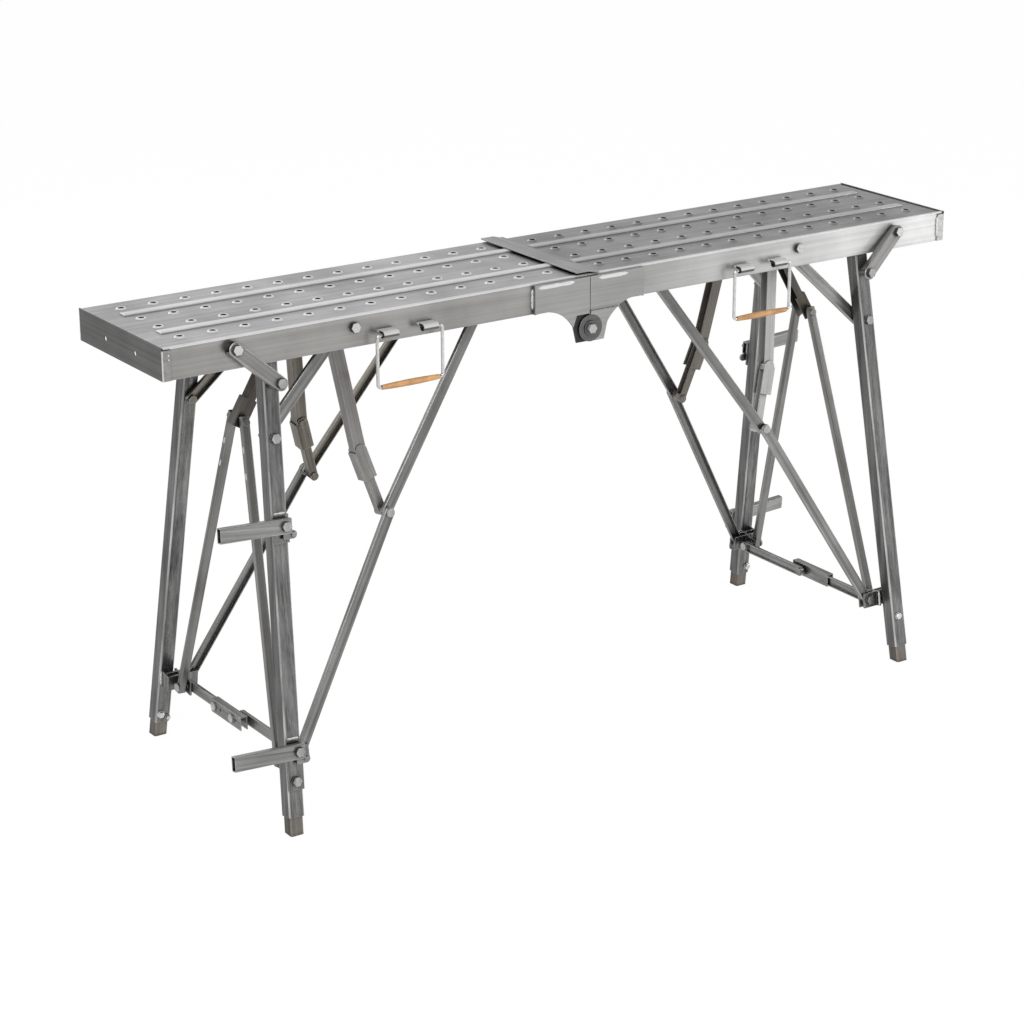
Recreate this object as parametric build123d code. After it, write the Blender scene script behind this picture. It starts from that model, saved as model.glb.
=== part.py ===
from build123d import *
import math
import os

# Folding scaffold platform, in millimetres
# X runs along the deck, Y across it with the front at minus Y, Z up from the floor

# deck
deck_length = 1400.0
deck_width = 249.0
deck_top = 716.0
skirt_height = 47.0
sheet = 1.5
deck_bend = 3.0
seam_gap = 1.0
rib_reach = 55.0
rib_width = 14.0
rib_height = 3.0
rib_end_margin = 32.0
rib_seam_margin = 20.0
hole_size = 11.5
hole_first = 47.0
hole_pitch = 50.5
hole_count = 13
hole_rows = (26.0, 88.0)
right_end_slot = 10.0

# end caps
cap_wrap = 13.0
cap_hole_size = 7.0
cap_hole_reach = 45.0
cap_hole_drop = 26.0

# seam cover plate, flat over the left half and bent down onto the right half
cover_left = 22.0
cover_bend_start = 1.0
cover_bend_end = 13.0
cover_right = 18.0
cover_overhang = 2.5
cover_plate = 2.0
cover_gap = 0.3

# middle hinge
hinge_drop = 81.0
hinge_pin_size = 10.0
gusset_reach = 98.0
gusset_pad = 3.4
gusset_plate = 3.4
gusset_hollow = 12.0
gusset_notch = 22.0
ear_plate = 2.0
ear_gap = 0.4
outer_ear_plate = 2.4
ear_radius = 20.5
ear_turn_gap = 1.0
ear_heel = 30.0
ear_shoulder = 5.0
ear_slant = 6.0
ear_drop = 20.0
ear_rise = 26.0
hinge_washer_size = 23.0
hinge_washer = 1.5
hinge_head_size = 13.0
hinge_head = 5.0
hinge_inner_head = 2.5

# handles on the front skirt
handle_wire = 5.0
handle_pivot_out = 15.0
handle_pivot_drop = 32.0
handle_fall = 76.0
handle_left_wire = 372.0
handle_right_wire = 264.0
handle_bend = 5.0
clip_size = 10.0
clip_length = 26.0
clip_setback = 8.0
clip_foot = 3.0
grip_size = 9.5
grip_end_size = 7.0
grip_end_margin = 6.0

# plane of each leg: it passes under the skirt and leans outward toward the floor
splay = 8.7
plane_drop = 22.0
plane_inset = 19.7

# fits
running_gap = 0.05
face_gap = 0.1
lean_gap = 0.7
slide_gap = 0.5

# bolts and pins
pin_size = 8.0
pin_sleeve_size = 13.0
bolt_head_size = 13.0
bolt_head = 5.0
rivet_size = 13.0
rivet_head = 2.2

# pivots of one leg: distance in from the deck end, then distance along the plane from the pivot line
link_pivot_in = 107.0
link_joint_in = 169.0
link_joint_drop = 56.0
brace_pivot_in = 300.0
brace_joint_in = 161.5
brace_joint_drop = 134.0
leg_top_in = 167.0
leg_top_drop = 22.0
leg_floor_in = 131.0
foot_pivot_in = 168.0
foot_pivot_rise = 105.0
knee_in = 353.0
knee_drop = 281.0
diagonal_pivot_in = 551.4
strut_upper_length = 188.5
strut_lower_length = 98.2

# leg tube and foot
leg_size = 25.0
leg_wall = 1.5
leg_round = 4.0
leg_end_rise = 26.0
foot_wall = 2.0
foot_round = 3.0
foot_length = 150.0
foot_sole = 4.0

# bars
bar_wall = 1.5
bar_bend = 1.5
link_width = 20.0
link_depth = 12.0
link_end = 11.0
link_stand_off = 9.5
brace_width = 18.0
brace_depth = 7.0
brace_stand_off = 0.5
diagonal_width = 16.0
diagonal_depth = 7.0
rivet_zone = 3.0
layer_gap = 0.5
strut_gap = 3.5
strut_width = 18.0
strut_depth = 17.0
strut_lower_width = 13.0
strut_lower_depth = 12.0
clip_plate = 1.8
clip_side_gap = 0.2
strut_clip_drop = 44.0
strut_clip_rivet = 36.0
strut_clip_rivet_side = 4.6
strut_pin_size = 6.0

# foot bracket on the leg
bracket_plate = 3.0
bracket_half_height = 12.0
bracket_side_gap = 0.5
bracket_left_in = 128.0
bracket_lug_in = 152.0
bracket_tip = 11.0
lug_depth = 60.0
cross_pin_depth = 48.0

# bar from the foot bracket to the middle of the trestle
middle_bar_side = 13.0
middle_bar_depth = 10.0
middle_bar_round = 2.0
middle_bar_foot_in = 143.7
middle_bar_top_in = 179.0
middle_bar_top_reach = 18.0
middle_bar_top_height = 552.0
middle_bar_end = 9.0
middle_bar_slot_length = 12.0
middle_bar_slot_width = 5.0
middle_bar_slots = (38.0, 76.0)

# apex link
apex_pivot_in = 262.7
apex_pivot_drop = 22.0
apex_width = 20.0
apex_depth = 12.0
apex_end = 10.0
apex_head_depth = 20.0
apex_head_length = 34.0
apex_lug_gap = 0.5
apex_lug_plate = 3.0
apex_lug_length = 24.0
apex_lug_drop = 12.0

# jointed crossbar between the feet
crossbar_height = 16.0
crossbar_depth = 5.0
crossbar_layer_gap = 5.0
crossbar_washer = 1.5
crossbar_lug_gap = 0.5
crossbar_end = 8.0
crossbar_head_height = 21.0
crossbar_head_side = 12.0
crossbar_head_start = 62.0
crossbar_head_past = 28.0
crossbar_dome_reach = 54.0
crossbar_holes = (34.0, -12.0)
crossbar_hole_size = 7.0

# steps
step_upper_drop = 255.0
step_lower_drop = 577.0
step_height = 22.0
step_depth = 11.0
step_wall = 1.5
step_tail = 9.5
step_reach = 101.5
step_plate = 3.0
step_plate_half = 15.0
step_washer = 3.5
step_side_gap = 0.1
step_upper_plate_drop = 26.0
step_lower_plate_drop = 59.0
step_tab_side = 15.0
step_tab_drop = 14.0
step_tab_radius = 6.0
step_tab_bolt = 7.0
step_tab_head = 3.0

# members under the deck
cross_member_width = 30.0
cross_member_depth = 12.0
lug_plate = 3.0
lug_half_length = 13.0
lug_below = 11.0

# derived positions
half_length = deck_length / 2
half_width = deck_width / 2
underside = deck_top - sheet
skirt_bottom = deck_top - skirt_height
cover_width = deck_width + 2 * cover_overhang
plane_reach = half_width - plane_inset
tilt = math.radians(splay)
plane_height = deck_top - plane_drop
floor_drop = plane_height / math.cos(tilt)
hinge_height = deck_top - hinge_drop
pin_radius = pin_size / 2
hole_radius = pin_radius + running_gap


def place(from_end, along):
    return (from_end - half_length, along)


link_pivot = place(link_pivot_in, 0)
link_joint = place(link_joint_in, -link_joint_drop)
brace_pivot = place(brace_pivot_in, 0)
brace_joint = place(brace_joint_in, -brace_joint_drop)
leg_top = place(leg_top_in, -leg_top_drop)
leg_floor = place(leg_floor_in, -floor_drop)
foot_pivot = place(foot_pivot_in, foot_pivot_rise - floor_drop)
knee = place(knee_in, -knee_drop)
diagonal_pivot = place(diagonal_pivot_in, 0)


def meet(first, second, first_length, second_length):
    # corner of a triangle standing on two points, on the outer side of the trestle
    gap = math.dist(first, second)
    along = (first_length**2 - second_length**2 + gap**2) / (2 * gap)
    off = math.sqrt(first_length**2 - along**2)
    ahead = ((second[0] - first[0]) / gap, (second[1] - first[1]) / gap)
    return (first[0] + along * ahead[0] + off * ahead[1], first[1] + along * ahead[1] - off * ahead[0])


strut_joint = meet(brace_pivot, knee, strut_upper_length, strut_lower_length)

# layers outward from the leg plane, outside positive
leg_face = leg_size / 2
link_low = leg_face + link_stand_off
link_high = link_low + link_depth
brace_high = -leg_face - brace_stand_off
brace_low = brace_high - brace_depth
lower_high = brace_low - rivet_zone
lower_low = lower_high - diagonal_depth
upper_high = lower_low - layer_gap
upper_low = upper_high - diagonal_depth
strut_high = upper_low - strut_gap
strut_low = strut_high - strut_depth
strut_middle = (strut_high + strut_low) / 2

side_plane = Plane(origin=(0, -plane_reach, plane_height), x_dir=(1, 0, 0),
                   z_dir=(0, -math.cos(tilt), math.sin(tilt)))


def lean(part):
    # from plane coordinates to the front left corner of the platform
    return side_plane.location * part


def world(x, along, out):
    reach = plane_reach - along * math.sin(tilt) + out * math.cos(tilt)
    return (x, -reach, plane_height + along * math.cos(tilt) + out * math.sin(tilt))


def aim(start, end):
    angle = math.degrees(math.atan2(end[1] - start[1], end[0] - start[0]))
    return Pos(start[0], start[1], 0) * Rot(0, 0, angle)


def pin(at, radius, low, high):
    return Pos(at[0], at[1], (low + high) / 2) * Cylinder(radius, high - low)


def bolt_top(at, across, low, high):
    outline = RegularPolygon(radius=across / 2, side_count=6, major_radius=False)
    return Pos(at[0], at[1], low) * extrude(outline, high - low)


def block(x_low, x_high, y_low, y_high, z_low, z_high):
    middle = Pos((x_low + x_high) / 2, (y_low + y_high) / 2, (z_low + z_high) / 2)
    return middle * Box(x_high - x_low, y_high - y_low, z_high - z_low)


def channel(start, end, width, low, high, past):
    # pressed channel between two pivots, web on the outer face
    length = math.dist(start, end)
    total = length + 2 * past
    outline = Pos(length / 2, 0) * RectangleRounded(total, width, width / 2 - 1)
    body = Pos(0, 0, low) * extrude(outline, high - low)
    rims = body.edges().filter_by(Axis.X).group_by(Axis.Z)[-1]
    body = fillet(rims, bar_bend)
    side = width / 2 - bar_wall
    hollow = block(-past - 1, length + past + 1, -side, side, low - 1, high - bar_wall)
    return aim(start, end) * (body - hollow)


def tube_section(width, depth, wall, corner):
    outer = RectangleRounded(width, depth, corner)
    inner = RectangleRounded(width - 2 * wall, depth - 2 * wall, corner - wall / 2)
    return outer - inner


def cross_pin(x_low, x_high, along, out, radius):
    # round pin along X through a point of the plane
    start = world(x_low, along, out)
    turned = Rot(0, 90, 0) * Cylinder(radius, x_high - x_low)
    return Pos((x_low + x_high) / 2, start[1], start[2]) * turned


def side_pin(x, z, y_low, y_high, radius):
    # round pin along Y
    turned = Rot(90, 0, 0) * Cylinder(radius, y_high - y_low)
    return Pos(x, (y_low + y_high) / 2, z) * turned


def both_sides(part):
    return [part, mirror(part, about=Plane.XZ)]


def make_leg(crossbar_low):
    # leg tube with link bolt, brace bolt head and foot bracket
    direction = aim(leg_top, leg_floor)
    length = math.dist(leg_top, leg_floor) - leg_end_rise
    section = tube_section(leg_size, leg_size, leg_wall, leg_round)
    leg = direction * extrude(Plane.YZ * section, length)
    web_inner = link_high - bar_wall
    leg += pin(link_joint, pin_sleeve_size / 2, leg_face, web_inner - face_gap)
    leg += pin(link_joint, pin_radius, leg_face, link_high + face_gap)
    leg += bolt_top(link_joint, bolt_head_size, link_high + face_gap, link_high + face_gap + bolt_head)
    leg += bolt_top(brace_joint, bolt_head_size, leg_face, leg_face + bolt_head)
    left = bracket_left_in - half_length
    tip = foot_pivot[0] + bracket_tip
    low = foot_pivot[1] - bracket_half_height
    high = foot_pivot[1] + bracket_half_height
    outer_high = lower_high + bracket_side_gap + bracket_plate
    inner_low = lower_low - bracket_side_gap - bracket_plate
    outer = block(left, tip, low, high, outer_high - bracket_plate, outer_high)
    inner = block(left, tip, low, high, inner_low, inner_low + bracket_plate)
    wall_end = foot_pivot[0] - leg_face - bracket_plate
    walls = [block(left, left + bracket_plate, low, high, inner_low, -leg_face),
             block(wall_end - bracket_plate, wall_end, low, high, inner_low, -leg_face)]
    lug_x = bracket_lug_in - half_length
    lug = block(lug_x, lug_x + bracket_plate, low, high, -lug_depth, inner_low)
    bracket = outer + inner + walls + lug
    bracket += pin(foot_pivot, pin_radius, inner_low, outer_high)
    bracket += bolt_top(foot_pivot, bolt_head_size, outer_high, outer_high + bolt_head)
    leg = lean(leg + bracket)
    bar_middle = middle_bar_foot_in - half_length
    pin_start = bar_middle - middle_bar_side / 2 - lean_gap
    pin_end = crossbar_low + crossbar_depth + face_gap
    leg += cross_pin(pin_start, pin_end, foot_pivot[1], -cross_pin_depth, pin_radius)
    leg += cross_pin(pin_start - rivet_head, pin_start, foot_pivot[1], -cross_pin_depth, rivet_size / 2)
    leg += cross_pin(pin_end, pin_end + rivet_head, foot_pivot[1], -cross_pin_depth, rivet_size / 2)
    lug_end = lug_x + bracket_plate
    leg += cross_pin(lug_end, crossbar_low - face_gap, foot_pivot[1], -cross_pin_depth, rivet_size / 2)
    return leg


def axis_at(along):
    part = (along - leg_top[1]) / (leg_floor[1] - leg_top[1])
    return leg_top[0] + part * (leg_floor[0] - leg_top[0])


leg_angle = math.degrees(math.atan2(leg_top[0] - leg_floor[0], leg_top[1] - leg_floor[1]))


def step_frame(drop):
    # square to the leg, with the origin on the step bolt
    return Pos(axis_at(-drop), -drop, 0) * Rot(0, 0, -leg_angle)


def add_step_plates(leg):
    # plates and bolts that carry the two steps on the outer face of the leg
    plates = []
    face = leg_face + step_plate
    tube_out = face + step_washer + step_side_gap + step_depth
    for drop, below in ((step_upper_drop, step_upper_plate_drop), (step_lower_drop, step_lower_plate_drop)):
        plate = block(-leg_face, leg_face, -below, step_plate_half, leg_face, face)
        plate += pin((0, 0), pin_sleeve_size / 2, face, face + step_washer)
        plate += pin((0, 0), pin_radius, face, tube_out + face_gap)
        plate += bolt_top((0, 0), bolt_head_size, tube_out + face_gap, tube_out + face_gap + bolt_head)
        if below > step_upper_plate_drop:
            plate += bolt_top((0, bolt_head_size - below), bolt_head_size, face, face + bolt_head)
        plates.append(lean(step_frame(drop) * plate))
    return leg + plates


def make_step(drop):
    # flat open tube that turns on its bolt, with a latch tab at its inner end
    low = leg_face + step_plate + step_washer + step_side_gap
    half = step_height / 2
    tab = (step_tab_side, -step_tab_drop)
    tab_high = low + step_plate
    tab_plate = block(0, tab[0], tab[1] - step_tab_radius, tab[1] + step_tab_radius, low, tab_high)
    tab_plate += pin(tab, step_tab_radius, low, tab_high)
    tab_plate += bolt_top(tab, step_tab_bolt, tab_high, tab_high + step_tab_head)
    tube = block(-step_reach, step_tail, -half, half, low, low + step_depth)
    hollow = block(-step_reach - 1, step_tail + 1, step_wall - half, half - step_wall,
                   low + step_wall, low + step_depth - step_wall)
    tube = fillet(tube.edges().filter_by(Axis.X), step_wall)
    step = tube + tab_plate - hollow - pin((0, 0), hole_radius, low - 1, low + step_depth + 1)
    return lean(step_frame(drop) * step)


def make_link():
    link = channel(link_pivot, link_joint, link_width, link_low, link_high, link_end)
    for at in (link_pivot, link_joint):
        link -= pin(at, hole_radius, link_low, link_high + 1)
    return lean(link)


def make_brace():
    brace = channel(brace_pivot, brace_joint, brace_width, brace_low, brace_high, brace_width / 2)
    brace -= pin(brace_pivot, hole_radius, brace_low, brace_high + 1)
    brace += pin(brace_joint, pin_radius, brace_low - layer_gap, brace_high - bar_wall)
    rivet_seat = brace_low - layer_gap / 2
    brace += pin(brace_joint, rivet_size / 2, rivet_seat - rivet_head, rivet_seat)
    return lean(brace)


def make_diagonal_lower():
    bar = channel(foot_pivot, knee, diagonal_width, lower_low, lower_high, diagonal_width / 2)
    bar -= pin(foot_pivot, hole_radius, lower_low, lower_high + 1)
    bar += pin(knee, rivet_size / 2, lower_high, lower_high + rivet_head)
    return lean(bar)


def make_diagonal_upper():
    bar = channel(knee, diagonal_pivot, diagonal_width, upper_low, upper_high, diagonal_width / 2)
    bar -= pin(diagonal_pivot, hole_radius, upper_low, upper_high + 1)
    return lean(bar)


def make_strut_upper():
    # channel open toward the middle of the deck
    outline = Pos(strut_upper_length / 2, 0) * SlotCenterToCenter(strut_upper_length, strut_width)
    body = Pos(0, 0, strut_low) * extrude(outline, strut_depth)
    hollow = block(-strut_width, strut_upper_length + strut_width, bar_wall - strut_width / 2, strut_width,
                   strut_low + bar_wall, strut_high - bar_wall)
    body -= hollow
    ends = ((0, pin_radius), (strut_upper_length, strut_pin_size / 2))
    for along, radius in ends:
        body -= pin((along, 0), radius + running_gap, strut_low - 1, strut_high + 1)
    return lean(aim(brace_pivot, strut_joint) * body)


def make_strut_lower():
    # bar below the strut joint with the clip that wraps the upper strut
    low = strut_middle - strut_lower_depth / 2
    high = strut_middle + strut_lower_depth / 2
    outline = Pos(strut_lower_length / 2, 0) * SlotCenterToCenter(strut_lower_length, strut_lower_width)
    bar = Pos(0, 0, low) * extrude(outline, strut_lower_depth)
    half = strut_lower_width / 2
    groove_start = strut_pin_size
    groove_end = strut_lower_length - rivet_size / 2
    bar -= block(groove_start, groove_end, bar_wall - half, half + 1, low + bar_wall, high - bar_wall)
    clip_high = strut_high + clip_side_gap
    clip_low = strut_low - clip_side_gap
    inner_side = strut_width / 2 + layer_gap
    outer_side = inner_side + clip_plate
    flank = Pos(strut_clip_drop / 2, (inner_side - outer_side) / 2) * Rectangle(
        strut_clip_drop, inner_side + outer_side)
    flank += Circle(inner_side)
    clip = Pos(0, 0, clip_high) * extrude(flank, clip_plate)
    clip += Pos(0, 0, clip_low - clip_plate) * extrude(flank, clip_plate)
    clip += block(0, strut_clip_drop, -outer_side, -inner_side, clip_low - clip_plate, clip_high + clip_plate)
    bar += clip
    outer = clip_high + clip_plate
    inner = clip_low - clip_plate
    bar += pin((0, 0), strut_pin_size / 2, inner - rivet_head, outer)
    bar += pin((0, 0), rivet_size / 2, inner - rivet_head, inner)
    bar += pin((strut_clip_rivet, -strut_clip_rivet_side), strut_pin_size / 2, inner, outer)
    bar += pin((strut_lower_length, 0), rivet_size / 2, high, upper_low - layer_gap)
    bar += pin((strut_lower_length, 0), rivet_size / 2, low - rivet_head, low)
    return lean(aim(strut_joint, knee) * bar)


def make_middle_bar():
    # bar from the foot bracket up to the apex link
    foot = Vector(*world(middle_bar_foot_in - half_length, foot_pivot[1], -cross_pin_depth))
    top = Vector(middle_bar_top_in - half_length, -middle_bar_top_reach, middle_bar_top_height)
    ahead = (top - foot).normalized()
    across = (Vector(1, 0, 0) - ahead * ahead.X).normalized()
    frame = Plane(origin=foot, x_dir=ahead, z_dir=across)
    length = (top - foot).length
    section = tube_section(middle_bar_depth, middle_bar_side, bar_wall, middle_bar_round)
    bar = Pos(-middle_bar_end, 0, 0) * extrude(Plane.YZ * section, length + 2 * middle_bar_end)
    for back in middle_bar_slots:
        slot = SlotOverall(middle_bar_slot_length, middle_bar_slot_width)
        bar -= Pos(length - back, 0, -middle_bar_side) * extrude(slot, middle_bar_side)
    bar += Pos(length, middle_bar_depth / 2 + rivet_head / 2, 0) * Rot(90, 0, 0) * Cylinder(
        middle_bar_side / 2 - 1, rivet_head)
    bar = frame.location * bar
    side = middle_bar_side
    bar -= cross_pin(foot.X - side, foot.X + side, foot_pivot[1], -cross_pin_depth, hole_radius)
    return bar


def crossbar_frame(x):
    pivot = world(0, foot_pivot[1], -cross_pin_depth)
    return Plane(origin=(x, pivot[1], pivot[2]), x_dir=(0, 1, 0), z_dir=(1, 0, 0))


crossbar_length = -world(0, foot_pivot[1], -cross_pin_depth)[1]
crossbar_near = bracket_lug_in - half_length + bracket_plate + crossbar_lug_gap
crossbar_far = crossbar_near + crossbar_depth + crossbar_layer_gap


def crossbar_bar():
    outline = Pos(crossbar_length / 2, 0) * SlotCenterToCenter(crossbar_length, crossbar_height)
    bar = extrude(outline, crossbar_depth)
    side = crossbar_height / 2 - bar_wall
    bar -= block(crossbar_end, crossbar_length - crossbar_end, -side, side, bar_wall, crossbar_depth + 1)
    return bar - pin((0, 0), hole_radius, -1, crossbar_depth + 1)


def make_crossbar_plain():
    bar = crossbar_bar()
    bar += pin((crossbar_length, 0), rivet_size / 2, crossbar_depth, crossbar_depth + rivet_head)
    bar += pin((crossbar_length, 0), rivet_size / 2, -crossbar_washer, 0)
    return crossbar_frame(crossbar_far).location * bar


def make_crossbar_headed():
    # half with the deep head that covers the middle joint
    bar = crossbar_bar()
    start = crossbar_length - crossbar_head_start
    end = crossbar_length + crossbar_head_past
    half = crossbar_head_height / 2
    outer = crossbar_depth - crossbar_head_side
    head = block(start, end, -half, half, outer, crossbar_depth)
    head -= block(start - 1, end + 1, -half - 1, half - bar_wall, outer + bar_wall, crossbar_depth - bar_wall)
    for reach in crossbar_holes:
        head -= pin((crossbar_length - reach, 0), crossbar_hole_size / 2, outer - 1, outer + bar_wall + 1)
    head += pin((crossbar_length - crossbar_dome_reach, 0), rivet_size / 2, outer - rivet_head, outer)
    head += pin((crossbar_length, 0), rivet_size / 2, outer - rivet_head, outer)
    return crossbar_frame(crossbar_near).location * (bar + head)


def make_foot():
    # insert tube with a closed sole cut flat on the floor
    size = leg_size - 2 * leg_wall - 2 * slide_gap
    length = math.dist(leg_top, leg_floor)
    direction = aim(leg_top, leg_floor)
    outer = extrude(Plane.YZ * RectangleRounded(size, size, foot_round), foot_length + size)
    inner_size = size - 2 * foot_wall
    inner = extrude(Plane.YZ * RectangleRounded(inner_size, inner_size, foot_round - foot_wall / 2),
                    foot_length - size / 2 - foot_sole)
    foot = lean(direction * Pos(length - foot_length, 0, 0) * (outer - inner))
    return foot - block(-half_length, half_length, -half_length, half_length, -half_length, 0)


apex_pivot = (apex_pivot_in - half_length, deck_top - apex_pivot_drop)
apex_joint = (middle_bar_top_in - half_length, middle_bar_top_height)


def make_apex_link():
    length = math.dist(apex_pivot, apex_joint)
    ahead = Vector(apex_joint[0] - apex_pivot[0], 0, apex_joint[1] - apex_pivot[1]).normalized()
    frame = Plane(origin=(apex_pivot[0], 0, apex_pivot[1]), x_dir=ahead, z_dir=(0, -1, 0))
    half = apex_width / 2
    link = block(-apex_end, length, -apex_depth / 2, apex_depth / 2, -half, half)
    link = fillet(link.edges().filter_by(Axis.Z).group_by(Axis.X)[0], apex_depth / 2 - 1)
    half_head = apex_head_depth / 2
    head = block(length - apex_head_length, length + apex_end, -half_head, half_head, -half, half)
    head = fillet(head.edges().filter_by(Axis.Z), bar_bend)
    link = link + head
    wall = half - bar_wall
    floor = bar_wall - apex_depth / 2
    link -= block(-2 * apex_end, length + 2 * apex_end, floor, apex_head_depth, -wall, wall)
    link -= pin((0, 0), hole_radius, -half - 1, half + 1)
    return frame.location * link


def make_handle(sign):
    # wire bail hanging in its two clips, with the grip on its lower run
    y = -half_width - handle_pivot_out
    z = deck_top - handle_pivot_drop
    left = min(sign * handle_left_wire, sign * handle_right_wire)
    right = max(sign * handle_left_wire, sign * handle_right_wire)
    turn_in = clip_setback + clip_length - handle_wire
    points = [(left + turn_in, y, z), (left, y, z), (left, y, z - handle_fall),
              (right, y, z - handle_fall), (right, y, z), (right - turn_in, y, z)]
    path = FilletPolyline(*points, radius=handle_bend)
    start = Plane(origin=points[0], z_dir=(-1, 0, 0))
    bail = sweep(start * Circle(handle_wire / 2), path=path)
    half_run = (right - left) / 2 - grip_end_margin
    inner = handle_wire / 2 + running_gap
    with BuildSketch() as drawn:
        with BuildLine():
            Line((-half_run, inner), (-half_run, grip_end_size / 2))
            ThreePointArc((-half_run, grip_end_size / 2), (0, grip_size / 2), (half_run, grip_end_size / 2))
            Line((half_run, grip_end_size / 2), (half_run, inner))
            Line((half_run, inner), (-half_run, inner))
        make_face()
    grip = Pos((left + right) / 2, y, z - handle_fall) * revolve(drawn.sketch, Axis.X)
    return bail, grip


def handle_clips(sign):
    y = -half_width - handle_pivot_out
    z = deck_top - handle_pivot_drop
    left = min(sign * handle_left_wire, sign * handle_right_wire)
    right = max(sign * handle_left_wire, sign * handle_right_wire)
    clips = []
    for start in (left + clip_setback, right - clip_setback - clip_length):
        foot = block(start, start + clip_length, y, -half_width,
                     z + clip_size / 2 - clip_foot, z + clip_size / 2)
        middle = start + clip_length / 2
        barrel = Pos(middle, y, z) * Rot(0, 90, 0) * Cylinder(clip_size / 2, clip_length)
        hole = Pos(middle, y, z) * Rot(0, 90, 0) * Cylinder(handle_wire / 2 + running_gap, clip_length + 2)
        clips.append(foot + barrel - hole)
    return clips


def make_plank(sign):
    # left half of the deck, or its mirror with its own end slot and rib ends
    start = -half_length + sheet
    end = -seam_gap / 2
    outer = Rectangle(deck_width, skirt_height)
    outer = fillet(outer.vertices().group_by(Axis.Y)[-1], deck_bend)
    inner = Pos(0, -sheet) * Rectangle(deck_width - 2 * sheet, skirt_height)
    inner = fillet(inner.vertices().group_by(Axis.Y)[-1], deck_bend - sheet)
    lift = Pos(0, deck_top - skirt_height / 2)
    plank = Pos(start, 0, 0) * extrude(Plane.YZ * (lift * (outer - inner)), end - start)
    rib_start = -half_length + rib_end_margin
    rib_end = end if sign < 0 else -rib_seam_margin
    for reach in (-rib_reach, rib_reach):
        half = rib_width / 2
        rib = block(rib_start, rib_end, reach - half, reach + half, underside, deck_top + rib_height)
        rib = fillet(rib.faces().sort_by(Axis.Z)[-1].edges(), rib_height - 1)
        plank += rib
        plank -= block(rib_start + sheet, rib_end + 1, reach - half + sheet, reach + half - sheet,
                       underside - 1, deck_top + rib_height - sheet)
    holes = []
    for row in hole_rows:
        for index in range(hole_count):
            x = -hole_first - index * hole_pitch
            for y in (-row, row):
                holes.append(Pos(x, y, deck_top - sheet / 2) * Cylinder(hole_size / 2, 3 * sheet))
    plank -= holes
    if sign > 0:
        plank -= block(-half_length, -half_length + right_end_slot,
                       -half_width + deck_bend, half_width - deck_bend, underside - 1, deck_top + 1)
    member = block(diagonal_pivot[0] - cross_member_width / 2, diagonal_pivot[0] + cross_member_width / 2,
                   -half_width + sheet, half_width - sheet, underside - cross_member_depth, underside)
    plank += member
    above = block(-half_length, 0, -half_width, half_width, underside + sheet / 2, deck_top + half_width)
    lugs = []
    lug_gap = layer_gap + lug_plate
    for at, low in ((diagonal_pivot, upper_low - lug_gap), (brace_pivot, strut_low - lug_gap)):
        lug = block(at[0] - lug_half_length, at[0] + lug_half_length, -lug_below, plane_drop + lug_below,
                    low, low + lug_plate)
        if at is diagonal_pivot:
            lug += pin(at, pin_radius, low, upper_high - face_gap)
        else:
            lug -= pin(at, pin_radius + running_gap, low - 1, low + lug_plate + 1)
        lugs += both_sides(lean(lug) - above)
    plank += lugs
    apex_lug = block(apex_pivot[0] - apex_lug_length / 2, apex_pivot[0] + apex_lug_length / 2,
                     apex_width / 2 + apex_lug_gap, apex_width / 2 + apex_lug_gap + apex_lug_plate,
                     apex_pivot[1] - apex_lug_drop, underside)
    plank += both_sides(apex_lug)
    lug_face = apex_width / 2 + apex_lug_gap + apex_lug_plate
    plank += side_pin(apex_pivot[0], apex_pivot[1], -lug_face, lug_face, pin_radius)
    cuts = []
    for at in (link_pivot, brace_pivot):
        cuts += both_sides(lean(pin(at, pin_radius + running_gap, 0, link_high)))
    plank -= cuts
    if sign > 0:
        plank = mirror(plank, about=Plane.YZ)
    return Compound(children=[plank] + handle_clips(sign))


def make_end_cap(sign):
    out = half_width + sheet
    cap = block(-half_length, -half_length + sheet, -out, out, skirt_bottom, deck_top)
    for side in (-1, 1):
        low = min(side * half_width, side * out)
        cap += block(-half_length, -half_length + cap_wrap, low, low + sheet,
                     skirt_bottom, deck_top - deck_bend)
        hole = Pos(-half_length, side * cap_hole_reach, deck_top - cap_hole_drop) * Rot(0, 90, 0)
        cap -= hole * Cylinder(cap_hole_size / 2, 4 * sheet)
    if sign > 0:
        cap = mirror(cap, about=Plane.YZ)
    return cap


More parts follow.
